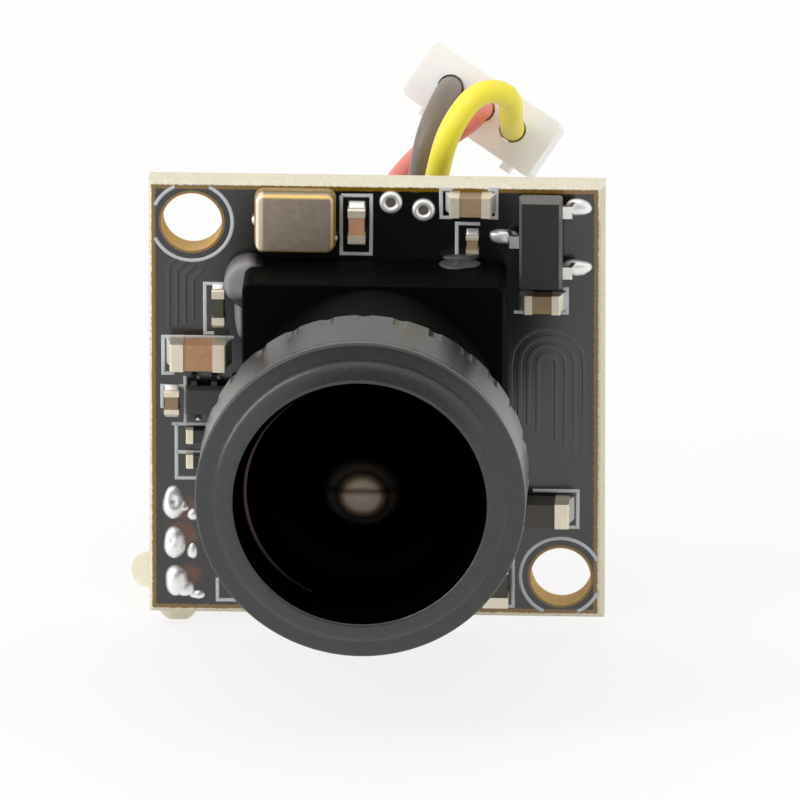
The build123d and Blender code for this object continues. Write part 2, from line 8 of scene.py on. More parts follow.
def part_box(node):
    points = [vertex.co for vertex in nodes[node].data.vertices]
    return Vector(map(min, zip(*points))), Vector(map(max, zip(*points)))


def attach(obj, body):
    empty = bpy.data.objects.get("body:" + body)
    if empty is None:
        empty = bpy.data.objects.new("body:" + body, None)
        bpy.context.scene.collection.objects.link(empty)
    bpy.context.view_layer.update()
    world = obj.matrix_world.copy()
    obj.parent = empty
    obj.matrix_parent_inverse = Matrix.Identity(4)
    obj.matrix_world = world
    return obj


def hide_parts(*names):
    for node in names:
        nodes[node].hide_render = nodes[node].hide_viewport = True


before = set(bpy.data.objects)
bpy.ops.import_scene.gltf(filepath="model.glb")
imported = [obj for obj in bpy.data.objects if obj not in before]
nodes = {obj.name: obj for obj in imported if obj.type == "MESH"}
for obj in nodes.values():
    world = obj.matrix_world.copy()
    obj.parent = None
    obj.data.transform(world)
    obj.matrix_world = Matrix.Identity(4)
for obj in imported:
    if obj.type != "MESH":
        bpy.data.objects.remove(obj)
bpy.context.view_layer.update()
scene = bpy.context.scene
mm = 0.001  # every size below is in millimetres
boardFront = -1.0  # y of the board's front face
boardBack = 0.0
lensUp = 0.6  # the lens axis stands this far above the middle of the board
print("frame loaded,", len(nodes), "nodes")


def towards(azimuth, elevation):
    # direction away from the object, in degrees from the lens side and from level
    az, el = math.radians(azimuth), math.radians(elevation)
    return Vector((math.sin(az) * math.cos(el), -math.cos(az) * math.cos(el), math.sin(el)))


# Camera: from a little right of the lens axis and above it, far away with a long lens
viewSet = {
    "aim": (0.783, -1.0, -0.006),
    "azimuth": 2.5,
    "elevation": 18.7,
    "distance": 1000,
    "width": 26.67,  # of what the picture shows at the aim
    "sensor": 36,
}


def placeCamera(s):
    back = towards(s["azimuth"], s["elevation"])
    data = bpy.data.cameras.new("camera")
    data.sensor_width = s["sensor"]
    data.lens = s["sensor"] * s["distance"] / s["width"]
    camera = bpy.data.objects.new("camera", data)
    camera.location = (Vector(s["aim"]) + back * s["distance"]) * mm
    camera.rotation_euler = back.to_track_quat("Z", "Y").to_euler()
    scene.collection.objects.link(camera)
    scene.camera = camera


placeCamera(viewSet)
print("camera placed")


def fromHex(code):
    # sRGB hex to linear colour
    parts = [int(code[i:i + 2], 16) / 255 for i in (1, 3, 5)]
    return tuple(c / 12.92 if c <= 0.04045 else ((c + 0.055) / 1.055) ** 2.4 for c in parts) + (1,)


def newMaterial(name, **sockets):
    mat = bpy.data.materials.new(name)
    mat.use_nodes = True
    shader = mat.node_tree.nodes["Principled BSDF"]
    for key, value in sockets.items():
        shader.inputs[key.replace("_", " ")].default_value = value
    return mat


def addNode(mat, kind, inputs, **settings):
    # one node with its settings, values and links
    node = mat.node_tree.nodes.new(kind)
    for key, value in settings.items():
        setattr(node, key, value)
    for key, value in inputs.items():
        if isinstance(value, bpy.types.NodeSocket):
            mat.node_tree.links.new(value, node.inputs[key])
        else:
            node.inputs[key].default_value = value
    return node


def feed(mat, **sockets):
    # link node outputs to the shader
    shader = mat.node_tree.nodes["Principled BSDF"]
    for key, value in sockets.items():
        mat.node_tree.links.new(value, shader.inputs[key.replace("_", " ")])


def grain(mat, size, strength, height, dark, pale):
    # fine relief and a mild change of colour, from one noise of the given size in mm
    place = addNode(mat, "ShaderNodeTexCoord", {}).outputs["Object"]
    noise = addNode(mat, "ShaderNodeTexNoise", {"Vector": place, "Scale": 1 / (size * mm), "Detail": 3.0})
    bump = addNode(mat, "ShaderNodeBump",
                   {"Height": noise.outputs["Fac"], "Strength": strength, "Distance": height * mm})
    tint = addNode(mat, "ShaderNodeMix",
                   {"Factor": noise.outputs["Fac"], "A": fromHex(dark), "B": fromHex(pale)}, data_type="RGBA")
    feed(mat, Base_Color=tint.outputs["Result"], Normal=bump.outputs["Normal"])
    return mat


def nearest(mat, flat, spots):
    # distance in the board's plane to the nearest of some spots
    least = None
    for x, z in spots:
        away = addNode(mat, "ShaderNodeVectorMath", {0: flat, 1: (x * mm, 0, z * mm)},
                       operation="DISTANCE").outputs["Value"]
        if least is None:
            least = away
        else:
            least = addNode(mat, "ShaderNodeMath", {0: least, 1: away}, operation="MINIMUM").outputs[0]
    return least


# Solder mask, black gloss ink over glass-fibre board: a mirror-like skin that ends short of the cut edge,
# where the pale board shows, and plated copper in the hole walls
maskSet = {
    "mask": "#0f0f0d", "rim": "#7a5a02", "fibreDark": "#d0c6a6", "fibrePale": "#eee9d8",
    "copper": "#cba65c", "flux": "#6e3602",
    "ior": 1.76, "gloss": 0.2, "rawRough": 0.75,
    "weave": 0.12, "weaveDeep": 0.05, "weaveStrength": 0.6,
    "rimStart": 7.33, "rimFade": 0.04, "rimEnd": 7.47, "edgeFade": 0.03, "ragged": 0.08,
    "shift": 0.06,  # the ink is printed this far to the left
    "holes": ((-6.15, 6.15), (6.15, -6.15)), "holeR": 1.02, "lipR": 1.1,
    "fluxAt": ((-6.48, -3.95), (-6.5, -4.85), (-6.36, -6.25)), "fluxR": 0.88, "fluxOut": 0.1, "fluxIn": 0.15,
    "fluxWave": 0.9, "fluxSpread": 0.9, "fluxShare": 0.7, "fluxY": -0.9,
}


def maskMaterial(s):
    mat = newMaterial("solderMaskGloss", Roughness=s["gloss"], IOR=s["ior"])
    place = addNode(mat, "ShaderNodeTexCoord", {}).outputs["Object"]
    axes = addNode(mat, "ShaderNodeSeparateXYZ", {"Vector": place}).outputs
    flat = addNode(mat, "ShaderNodeCombineXYZ", {"X": axes["X"], "Z": axes["Z"]}).outputs[0]
    wave = addNode(mat, "ShaderNodeTexNoise",
                   {"Vector": place, "Scale": 1 / (s["fluxWave"] * mm), "Detail": 2.0}).outputs["Fac"]
    weave = addNode(mat, "ShaderNodeTexNoise",
                    {"Vector": place, "Scale": 1 / (s["weave"] * mm), "Detail": 3.0}).outputs["Fac"]
    # how far out on the board, with a ragged end to the ink
    shifted = addNode(mat, "ShaderNodeMath", {0: axes["X"], 1: s["shift"] * mm}, operation="ADD").outputs[0]
    acrossX = addNode(mat, "ShaderNodeMath", {0: shifted}, operation="ABSOLUTE").outputs[0]
    acrossZ = addNode(mat, "ShaderNodeMath", {0: axes["Z"]}, operation="ABSOLUTE").outputs[0]
    outward = addNode(mat, "ShaderNodeMath", {0: acrossX, 1: acrossZ}, operation="MAXIMUM").outputs[0]
    ragged = addNode(mat, "ShaderNodeMath", {0: weave, 1: s["ragged"] * mm, 2: outward},
                     operation="MULTIPLY_ADD").outputs[0]
    rim = addNode(mat, "ShaderNodeMapRange",
                  {"Value": ragged, "From Min": s["rimStart"] * mm,
                   "From Max": (s["rimStart"] + s["rimFade"]) * mm}).outputs[0]
    edge = addNode(mat, "ShaderNodeMapRange",
                   {"Value": ragged, "From Min": s["rimEnd"] * mm,
                    "From Max": (s["rimEnd"] + s["edgeFade"]) * mm}).outputs[0]
    hole = nearest(mat, flat, s["holes"])
    wall = addNode(mat, "ShaderNodeMath", {0: hole, 1: s["holeR"] * mm}, operation="LESS_THAN").outputs[0]
    lip = addNode(mat, "ShaderNodeMath", {0: hole, 1: s["lipR"] * mm}, operation="LESS_THAN").outputs[0]
    bareOrShaded = addNode(mat, "ShaderNodeMath", {0: rim, 1: lip}, operation="MAXIMUM").outputs[0]
    # brown flux residue beside the wire joints, on the front face
    uneven = addNode(mat, "ShaderNodeMath",
                     {0: wave, 1: s["fluxSpread"] * mm, 2: nearest(mat, flat, s["fluxAt"])},
                     operation="MULTIPLY_ADD").outputs[0]
    flux = addNode(mat, "ShaderNodeMapRange",
                   {"Value": uneven, "From Min": (s["fluxR"] + s["fluxOut"]) * mm,
                    "From Max": (s["fluxR"] - s["fluxIn"]) * mm, "To Max": s["fluxShare"]}).outputs[0]
    isFront = addNode(mat, "ShaderNodeMath", {0: axes["Y"], 1: s["fluxY"] * mm},
                      operation="LESS_THAN").outputs[0]
    fluxFront = addNode(mat, "ShaderNodeMath", {0: flux, 1: isFront}, operation="MULTIPLY").outputs[0]
    stained = addNode(mat, "ShaderNodeMix",
                      {"Factor": fluxFront, "A": fromHex(s["mask"]), "B": fromHex(s["flux"])},
                      data_type="RGBA").outputs["Result"]
    rimmed = addNode(mat, "ShaderNodeMix", {"Factor": bareOrShaded, "A": stained, "B": fromHex(s["rim"])},
                     data_type="RGBA").outputs["Result"]
    fibre = addNode(mat, "ShaderNodeMix",
                    {"Factor": weave, "A": fromHex(s["fibreDark"]), "B": fromHex(s["fibrePale"])},
                    data_type="RGBA").outputs["Result"]
    edged = addNode(mat, "ShaderNodeMix", {"Factor": edge, "A": rimmed, "B": fibre},
                    data_type="RGBA").outputs["Result"]
    walled = addNode(mat, "ShaderNodeMix", {"Factor": wall, "A": edged, "B": fromHex(s["copper"])},
                     data_type="RGBA").outputs["Result"]
    raw = addNode(mat, "ShaderNodeMath", {0: edge, 1: wall}, operation="MAXIMUM").outputs[0]
    rough = addNode(mat, "ShaderNodeMapRange", {"Value": raw, "To Min": s["gloss"], "To Max": s["rawRough"]})
    relief = addNode(mat, "ShaderNodeMath", {0: weave, 1: raw}, operation="MULTIPLY").outputs[0]
    bump = addNode(mat, "ShaderNodeBump",
                   {"Height": relief, "Strength": s["weaveStrength"], "Distance": s["weaveDeep"] * mm})
    feed(mat, Base_Color=walled, Roughness=rough.outputs[0], Normal=bump.outputs["Normal"])
    return mat


# Gold-edged crystal lid: satin nickel plate, brown-grey, with the gold plate bare along its rounded edge;
# the gold is kept to the front as painted shade on the top and sides, and a cream strip on the left shoulder is
# a painted highlight
lidSet = {"shade": "#9d8e80", "plate": "#c2b3a1", "gold": "#f0cd85", "leftGlint": "#fff3d6",
          "metallic": 0.8, "smooth": 0.38, "dull": 0.55, "mottle": 0.25,
          "at": (-2.7, 6.35), "half": (1.3, 1.0), "band": 0.1, "bandFade": 0.03,
          "shoulder": 0.24, "shoulderFade": 0.04, "goldY": -1.58}


def lidMaterial(s):
    mat = newMaterial("crystalLidSatin", Metallic=s["metallic"])
    place = addNode(mat, "ShaderNodeTexCoord", {}).outputs["Object"]
    axes = addNode(mat, "ShaderNodeSeparateXYZ", {"Vector": place}).outputs
    reach = []
    for axis, centre, half in zip("XZ", s["at"], s["half"]):
        moved = addNode(mat, "ShaderNodeMath", {0: axes[axis], 1: centre * mm}, operation="SUBTRACT").outputs[0]
        away = addNode(mat, "ShaderNodeMath", {0: moved}, operation="ABSOLUTE").outputs[0]
        reach.append(addNode(mat, "ShaderNodeMath", {0: away, 1: half * mm}, operation="SUBTRACT").outputs[0])
    outer = addNode(mat, "ShaderNodeMath", {0: reach[0], 1: reach[1]}, operation="MAXIMUM").outputs[0]
    edge = addNode(mat, "ShaderNodeMapRange",
                   {"Value": outer, "From Min": -(s["band"] + s["bandFade"]) * mm,
                    "From Max": -(s["band"] - s["bandFade"]) * mm}).outputs[0]
    # painted shade: the gold shows only ahead of goldY, on the front, while the top and sides keep the plate
    # colour
    ahead = addNode(mat, "ShaderNodeMath", {0: axes["Y"], 1: s["goldY"] * mm}, operation="LESS_THAN").outputs[0]
    trim = addNode(mat, "ShaderNodeMath", {0: edge, 1: ahead}, operation="MULTIPLY").outputs[0]
    mottle = addNode(mat, "ShaderNodeTexNoise",
                     {"Vector": place, "Scale": 1 / (s["mottle"] * mm), "Detail": 4.0}).outputs["Fac"]
    plate = addNode(mat, "ShaderNodeMix",
                    {"Factor": mottle, "A": fromHex(s["shade"]), "B": fromHex(s["plate"])},
                    data_type="RGBA").outputs["Result"]
    tint = addNode(mat, "ShaderNodeMix", {"Factor": trim, "A": plate, "B": fromHex(s["gold"])},
                   data_type="RGBA").outputs["Result"]
    # painted highlight: a cream strip down the left shoulder, where the light falls
    left, fade = s["at"][0] - s["half"][0] + s["shoulder"], s["shoulderFade"]
    side = addNode(mat, "ShaderNodeMapRange", {"Value": axes["X"], "From Min": (left + fade) * mm,
                                               "From Max": (left - fade) * mm}).outputs[0]
    shoulder = addNode(mat, "ShaderNodeMix", {"Factor": side, "A": tint, "B": fromHex(s["leftGlint"])},
                       data_type="RGBA").outputs["Result"]
    rough = addNode(mat, "ShaderNodeMapRange", {"Value": mottle, "To Min": s["smooth"], "To Max": s["dull"]})
    feed(mat, Base_Color=shoulder, Roughness=rough.outputs[0])
    return mat


# Anodised black lens barrel: satin, with the fine focus thread cut into its shank and a matt black inside
# its grit is drawn coarser than life, so that it shows
barrelSet = {"name": "anodisedBlackSatin", "anodised": "#17181a", "worn": "#242527", "inside": "#020202",
             "ior": 1.4, "rough": 0.2, "insideRough": 0.9, "sheen": 0.5,
             "gritSize": 0.18, "grit": 0.003, "relief": 0.8,
             "shankR": 3.56, "pitch": 0.35, "boreR": 2.85, "throatR": 4.19, "seatY": -10.65}
# the front of the head is a copy of the same finish, a little rougher; its greyer colour is painted light
faceFinish = dict(barrelSet, name="anodisedBlackFace", anodised="#222324", worn="#323335",
                  ior=1.56, rough=0.24, grit=0.006)


def barrelMaterial(s):
    mat = newMaterial(s["name"], IOR=s["ior"])
    place = addNode(mat, "ShaderNodeTexCoord", {}).outputs["Object"]
    axes = addNode(mat, "ShaderNodeSeparateXYZ", {"Vector": place}).outputs
    flat = addNode(mat, "ShaderNodeCombineXYZ", {"X": axes["X"], "Z": axes["Z"]}).outputs[0]
    radius = nearest(mat, flat, [(0, lensUp)])
    within = {}
    for key in ("shankR", "boreR", "throatR"):
        within[key] = addNode(mat, "ShaderNodeMath", {0: radius, 1: s[key] * mm},
                              operation="LESS_THAN").outputs[0]
    ahead = addNode(mat, "ShaderNodeMath", {0: axes["Y"], 1: s["seatY"] * mm}, operation="LESS_THAN").outputs[0]
    mouth = addNode(mat, "ShaderNodeMath", {0: within["throatR"], 1: ahead}, operation="MULTIPLY").outputs[0]
    inside = addNode(mat, "ShaderNodeMath", {0: within["boreR"], 1: mouth}, operation="MAXIMUM").outputs[0]
    thread = addNode(mat, "ShaderNodeMath", {0: axes["Y"], 1: s["pitch"] / 2 * mm},
                     operation="PINGPONG").outputs[0]
    cut = addNode(mat, "ShaderNodeMath", {0: thread, 1: within["shankR"]}, operation="MULTIPLY").outputs[0]
    grit = addNode(mat, "ShaderNodeTexNoise",
                   {"Vector": place, "Scale": 1 / (s["gritSize"] * mm), "Detail": 3.0}).outputs["Fac"]
    height = addNode(mat, "ShaderNodeMath", {0: grit, 1: s["grit"] * mm, 2: cut},
                     operation="MULTIPLY_ADD").outputs[0]
    bump = addNode(mat, "ShaderNodeBump", {"Height": height, "Strength": s["relief"], "Distance": 1.0})
    tint = addNode(mat, "ShaderNodeMix", {"Factor": grit, "A": fromHex(s["anodised"]), "B": fromHex(s["worn"])},
                   data_type="RGBA").outputs["Result"]
    dark = addNode(mat, "ShaderNodeMix", {"Factor": inside, "A": tint, "B": fromHex(s["inside"])},
                   data_type="RGBA").outputs["Result"]
    rough = addNode(mat, "ShaderNodeMapRange",
                    {"Value": inside, "To Min": s["rough"], "To Max": s["insideRough"]})
    sheen = addNode(mat, "ShaderNodeMapRange", {"Value": inside, "To Min": s["sheen"], "To Max": 0.0})
    feed(mat, Base_Color=dark, Roughness=rough.outputs[0], Normal=bump.outputs["Normal"],
         Specular_IOR_Level=sheen.outputs[0])
    return mat


# Second glass: a painted reflection, a small beige patch set low in it with a brown bar across and a dim ring
# round it;
# the rest is black. Each stop is a radius and a colour
pupilSet = {"stops": [(0.0, "#9c9387"), (0.52, "#8f8476"), (0.7, "#493c2d"), (0.84, "#171512"),
                      (1.0, "#26231e"), (1.2, "#141210"), (1.34, "#000000")],
            "reach": 1.6, "up": -0.33, "bar": "#84553f", "barUp": 0.2, "barHalf": 0.19, "barShare": 0.85}


def pupilMaterial(s):
    mat = newMaterial("secondGlassPaintedReflection", Roughness=1.0, Specular_IOR_Level=0.0)
    place = addNode(mat, "ShaderNodeTexCoord", {}).outputs["Object"]
    axes = addNode(mat, "ShaderNodeSeparateXYZ", {"Vector": place}).outputs
    flat = addNode(mat, "ShaderNodeCombineXYZ", {"X": axes["X"], "Z": axes["Z"]}).outputs[0]
    # painted reflection: the patch is centred this far below the axis, where the reflection falls
    centre = lensUp + s["up"]
    radius = nearest(mat, flat, [(0, centre)])
    share = addNode(mat, "ShaderNodeMapRange", {"Value": radius, "From Max": s["reach"] * mm})
    ramp = addNode(mat, "ShaderNodeValToRGB", {"Fac": share.outputs[0]})
    stops = ramp.color_ramp.elements
    for i, (at, colour) in enumerate(s["stops"]):
        stop = stops[i] if i < 2 else stops.new(1.0)  # a new ramp has two stops
        stop.position = at / s["reach"]
        stop.color = fromHex(colour)
    up = addNode(mat, "ShaderNodeMath", {0: axes["Z"], 1: (centre + s["barUp"]) * mm}, operation="SUBTRACT")
    away = addNode(mat, "ShaderNodeMath", {0: up.outputs[0]}, operation="ABSOLUTE")
    bar = addNode(mat, "ShaderNodeMapRange", {"Value": away.outputs[0], "From Min": s["barHalf"] * mm,
                                              "From Max": 0.0, "To Max": s["barShare"]})
    tint = addNode(mat, "ShaderNodeMix",
                   {"Factor": bar.outputs[0], "A": ramp.outputs["Color"], "B": fromHex(s["bar"])},
                   data_type="RGBA", blend_type="MULTIPLY")
    feed(mat, Base_Color=tint.outputs["Result"])
    return mat


# Ground edge of the front glass: a dull rosy line, a painted glint that fades to dark towards its ends
glassEdgeSet = {"rosyGlint": "#53433f", "dark": "#050404", "fadeStart": 0.8, "fadeEnd": 3.1}


def glassEdgeMaterial(s):
    mat = newMaterial("glassEdgePaintedGlint", Roughness=0.4, Specular_IOR_Level=0.1)
    place = addNode(mat, "ShaderNodeTexCoord", {}).outputs["Object"]
    axes = addNode(mat, "ShaderNodeSeparateXYZ", {"Vector": place}).outputs
    up = addNode(mat, "ShaderNodeMath", {0: axes["Z"], 1: lensUp * mm}, operation="SUBTRACT")
    away = addNode(mat, "ShaderNodeMath", {0: up.outputs[0]}, operation="ABSOLUTE")
    # painted glint: rosy near the height of the axis, fading to dark above and below
    fade = addNode(mat, "ShaderNodeMapRange", {"Value": away.outputs[0], "From Min": s["fadeStart"] * mm,
                                               "From Max": s["fadeEnd"] * mm})
    tint = addNode(mat, "ShaderNodeMix",
                   {"Factor": fade.outputs[0], "A": fromHex(s["rosyGlint"]), "B": fromHex(s["dark"])},
                   data_type="RGBA")
    feed(mat, Base_Color=tint.outputs["Result"])
    return mat


# Cured adhesive over the left lug: pale, with painted shade that darkens it below and on the right
# thick and thin are the heights where the painted shade starts and is full; left and right are the span where
# it grows across
capSet = {"pale": "#8b898a", "dark": "#1d1a18", "thick": 4.3, "thin": 4.0, "left": -4.25, "right": -3.95,
          "wave": 0.4, "waveHeight": 0.4, "relief": 0.4, "reliefDeep": 0.05}


def capMaterial(s):
    mat = newMaterial("curedAdhesiveCap", Roughness=0.4)
    place = addNode(mat, "ShaderNodeTexCoord", {}).outputs["Object"]
    axes = addNode(mat, "ShaderNodeSeparateXYZ", {"Vector": place}).outputs
    wave = addNode(mat, "ShaderNodeTexNoise",
                   {"Vector": place, "Scale": 1 / (s["wave"] * mm), "Detail": 2.0}).outputs["Fac"]
    level = addNode(mat, "ShaderNodeMath", {0: wave, 1: s["waveHeight"] * mm, 2: axes["Z"]},
                    operation="MULTIPLY_ADD").outputs[0]
    # painted shade: darker below a wavy height and towards the right
    shadeBelow = addNode(mat, "ShaderNodeMapRange", {"Value": level, "From Min": s["thick"] * mm,
                                                "From Max": s["thin"] * mm}).outputs[0]
    shadeRight = addNode(mat, "ShaderNodeMapRange", {"Value": axes["X"], "From Min": s["left"] * mm,
                                                "From Max": s["right"] * mm}).outputs[0]
    bareOrShaded = addNode(mat, "ShaderNodeMath", {0: shadeBelow, 1: shadeRight}, operation="MAXIMUM").outputs[0]
    tint = addNode(mat, "ShaderNodeMix", {"Factor": bareOrShaded, "A": fromHex(s["pale"]), "B": fromHex(s["dark"])},
                   data_type="RGBA")
    bump = addNode(mat, "ShaderNodeBump",
                   {"Height": wave, "Strength": s["relief"], "Distance": s["reliefDeep"] * mm})
    feed(mat, Base_Color=tint.outputs["Result"], Normal=bump.outputs["Normal"])
    return mat


# Transfer-moulded epoxy of the transistor: a smooth dark front face; the top and sides are painted paler, as
# painted light falling from above
packageSet = {"dark": "#1a1a19", "pale": "#282726", "side": "#66625f", "skin": 0.03,
              "grit": 0.1, "relief": 0.5, "reliefDeep": 0.015}


def packageMaterial(s):
    mat = newMaterial("mouldedEpoxyPaintedTopLight", Roughness=0.55)
    place = addNode(mat, "ShaderNodeTexCoord", {}).outputs["Object"]
    axes = addNode(mat, "ShaderNodeSeparateXYZ", {"Vector": place}).outputs
    grit = addNode(mat, "ShaderNodeTexNoise",
                   {"Vector": place, "Scale": 1 / (s["grit"] * mm), "Detail": 3.0}).outputs["Fac"]
    front = addNode(mat, "ShaderNodeMix", {"Factor": grit, "A": fromHex(s["dark"]), "B": fromHex(s["pale"])},
                    data_type="RGBA").outputs["Result"]
    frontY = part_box("transistor_body")[0].y
    # painted light: everything behind the front face is painted paler, as if lit from above
    paintedLitSides = addNode(mat, "ShaderNodeMath", {0: axes["Y"], 1: frontY + s["skin"] * mm},
                     operation="GREATER_THAN").outputs[0]
    tint = addNode(mat, "ShaderNodeMix", {"Factor": paintedLitSides, "A": front, "B": fromHex(s["side"])},
                   data_type="RGBA")
    bump = addNode(mat, "ShaderNodeBump",
                   {"Height": grit, "Strength": s["relief"], "Distance": s["reliefDeep"] * mm})
    feed(mat, Base_Color=tint.outputs["Result"], Normal=bump.outputs["Normal"])
    return mat


# Plain finishes: the material's name and sockets, then its grain: size, strength, height and two colours
# real grain is too fine to show at this size, so it is drawn coarser
plainSet = {
    # moulded black plastic: satin, deep black with soft reflections
    "holder": ("mouldedPlasticSatin", {"Roughness": 0.5, "Specular_IOR_Level": 0.05},
               (0.25, 0.25, 0.012, "#040404", "#090809")),
    # transfer-moulded epoxy of the packages: matt, faintly grainy
    "epoxy": ("mouldedEpoxyBlack", {"Roughness": 0.55}, (0.1, 0.5, 0.015, "#323132", "#454344")),
    # fired ceramic of the capacitors: warm brown, tan or olive, matt
    "ceramic": ("firedCeramicBrown", {"Roughness": 0.5}, (0.12, 0.4, 0.012, "#a37b57", "#c79a74")),
    "ceramicPale": ("firedCeramicTan", {"Roughness": 0.5}, (0.12, 0.4, 0.012, "#846f51", "#a68f6c")),
    "ceramicOlive": ("firedCeramicOlive", {"Roughness": 0.45}, (0.12, 0.4, 0.012, "#3d3d2e", "#55543f")),
    # glaze over the resistors: black, with some gloss
    "resistor": ("resistorGlazeBlack", {"Roughness": 0.3}, (0.15, 0.3, 0.01, "#1d1c1c", "#2b2a29")),
    # fired ferrite: dark grey and matt
    "ferrite": ("firedFerriteGrey", {"Roughness": 0.5}, (0.12, 0.4, 0.012, "#3b3733", "#4d4841")),
    # gold-plated ceramic under the crystal's lid: dull gold
    "crystalBase": ("goldPlatedCeramic", {"Roughness": 0.4}, (0.2, 0.3, 0.01, "#8f7a50", "#b39a6d")),
    # tin plate on the ends of the chips: pale and satin
    "tin": ("tinPlateSatin", {"Metallic": 0.6, "Roughness": 0.38}, (0.2, 0.3, 0.012, "#e0d5bd", "#f7eedc")),
    # tinned leads: bright, or darkened with painted shade where the lens keeps the light off
    "lead": ("tinnedLeadBright", {"Metallic": 1.0, "Roughness": 0.28}, (0.2, 0.3, 0.02, "#ebe9e5", "#fbfaf7")),
    "leadShaded": ("tinnedLeadPaintedShade", {"Metallic": 0.3, "Roughness": 0.5}, (0.2, 0.3, 0.02, "#3a3836", "#4b4946")),
    # reflowed solder: bright, with soft ripples
    "solder": ("reflowedSolderBright", {"Metallic": 0.7, "Roughness": 0.38},
               (0.3, 0.4, 0.04, "#f6f5f2", "#ffffff")),
    # printed epoxy ink: chalky
    "ink": ("printedInkPale", {"Roughness": 0.6}, (0.1, 0.5, 0.01, "#aeb3b6", "#cdd1d4")),
    # solder mask over copper: as glossy as on the bare board, a shade paler
    "maskPlain": ("solderMaskOverCopper", {"Roughness": 0.2, "IOR": 1.76},
                  (0.6, 0.02, 0.01, "#22221f", "#282824")),
    # cured adhesive: grey, smooth, a little uneven
    "adhesivePale": ("curedAdhesivePale", {"Roughness": 0.35}, (0.3, 0.4, 0.05, "#7c7a7b", "#8e8c8d")),
    "adhesive": ("curedAdhesiveGrey", {"Roughness": 0.35}, (0.3, 0.6, 0.06, "#3c3c3e", "#58585a")),
    # hot-melt glue: milky and soft-edged
    "glue": ("hotMeltGlueMilky", {"Roughness": 0.35, "Subsurface_Weight": 0.4, "Subsurface_Scale": 0.6 * mm},
             (0.5, 0.5, 0.08, "#e4e2cd", "#f3f2e4")),
    # moulded nylon of the plug: white, light sinks in a little
    "nylon": ("mouldedNylonWhite", {"Roughness": 0.45, "Subsurface_Weight": 0.2, "Subsurface_Scale": 0.5 * mm},
              (0.2, 0.3, 0.015, "#fbf7f0", "#ffffff")),
    # extruded PVC insulation: smooth with a low gloss
    "pvcYellow": ("pvcInsulationYellow", {"Roughness": 0.38}, (0.4, 0.3, 0.03, "#fbe61a", "#fff45a")),
    "pvcBlack": ("pvcInsulationBlack", {"Roughness": 0.4}, (0.4, 0.3, 0.03, "#75695f", "#8a7e73")),
    "pvcRed": ("pvcInsulationRed", {"Roughness": 0.38}, (0.4, 0.3, 0.03, "#e5746b", "#f08d84")),
    # a small pale dot on the ring's edge: pale and matt
    "paleDot": ("paleMattDot", {"Roughness": 0.5}, (0.05, 0.4, 0.01, "#c4c6c8", "#e2e3e4")),
    # ceramic of the sensor: grey-brown, matt
    "sensor": ("sensorCeramicGrey", {"Roughness": 0.5}, (0.2, 0.2, 0.01, "#6a5d50", "#7d6f60")),
}
mats = {key: grain(newMaterial(name, **sockets), *form) for key, (name, sockets, form) in plainSet.items()}
mats.update({
    "mask": maskMaterial(maskSet),
    "lid": lidMaterial(lidSet),
    "barrel": barrelMaterial(barrelSet),
    "face": barrelMaterial(faceFinish),
    "pupil": pupilMaterial(pupilSet),
    "glassEdge": glassEdgeMaterial(glassEdgeSet),
    "package": packageMaterial(packageSet),
    "adhesiveCap": capMaterial(capSet),
    # coated optical glass: the coating leaves hardly any mirror image
    "glass": newMaterial("opticalGlassCoated", Transmission_Weight=1.0, Roughness=0.0, IOR=1.12,
                         Specular_Tint=(0.016, 0.012, 0.016, 1)),
    # filter glass: clear, faintly cyan
    "filter": newMaterial("filterGlassCyan", Base_Color=fromHex("#bfe3df"), Transmission_Weight=1.0,
                          Roughness=0.0, IOR=1.5),
    # dark brown fill inside the plated eyelets: painted shade in the bores
    "eyeletFill": newMaterial("boreFillPaintedShade", Base_Color=fromHex("#5d534b"), Roughness=0.6),
    # matt black paint of the baffles: no gloss at all
    "baffle": newMaterial("baffleBlackMatt", Base_Color=fromHex("#010101"), Roughness=0.9,
                          Specular_IOR_Level=0.0),
})
print("materials made,", len(mats))


finishes = {
    "mask": ["circuit_board"], "holder": ["lens_holder"], "barrel": ["lens_barrel"],
    "face": ["lens_front_ring"], "glass": ["front_element"], "pupil": ["second_element"],
    "baffle": ["front_spacer", "rear_spacer", "aperture_stop"],
    "filter": ["ir_filter", "sensor_cover_glass", "rear_element"],
    "sensor": ["image_sensor"], "crystalBase": ["crystal_base"], "lid": ["crystal_lid"],
    "package": ["transistor_body"], "epoxy": ["logic_chip_body", "memory_chip_body", "rear_regulator_body"],
    "leadShaded": ["logic_chip_leads"],
    "lead": ["transistor_leads", "memory_chip_leads", "rear_regulator_leads", "plug_terminals"],
    "resistor": ["upper_resistor_body", "lower_resistor_body"],
    "ferrite": ["ferrite_bead_body", "output_capacitor_body"], "ceramicOlive": ["sensor_capacitor_body"],
    "ceramicPale": ["supply_capacitor_body", "regulator_capacitor_body", "bias_capacitor_body",
                    "filter_capacitor_body"],
    "solder": ["test_points"], "nylon": ["plug_housing"], "glue": ["wire_glue"],
}


def dress(name, mat):
    mesh = nodes[name].data
    mesh.materials.clear()
    mesh.materials.append(mat)


for name in nodes:
    if name.endswith(("capacitor_body", "capacitor_bodies")):
        dress(name, mats["ceramic"])
    if name.endswith("_terminals"):
        dress(name, mats["tin"])
for key, names in finishes.items():
    for name in names:
        dress(name, mats[key])
print("solids dressed")


def makePiece(name, bm, mat, body, smooth=True):
    mesh = bpy.data.meshes.new(name)
    bm.to_mesh(mesh)
    bm.free()
    mesh.materials.append(mats[mat])
    if smooth:
        mesh.shade_smooth()
    obj = bpy.data.objects.new(name, mesh)
    scene.collection.objects.link(obj)
    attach(obj, body)
    return obj


def edgesOf(verts):
    # each edge of some vertices once, in a fixed order
    return list(dict.fromkeys(e for v in verts for e in v.link_edges))


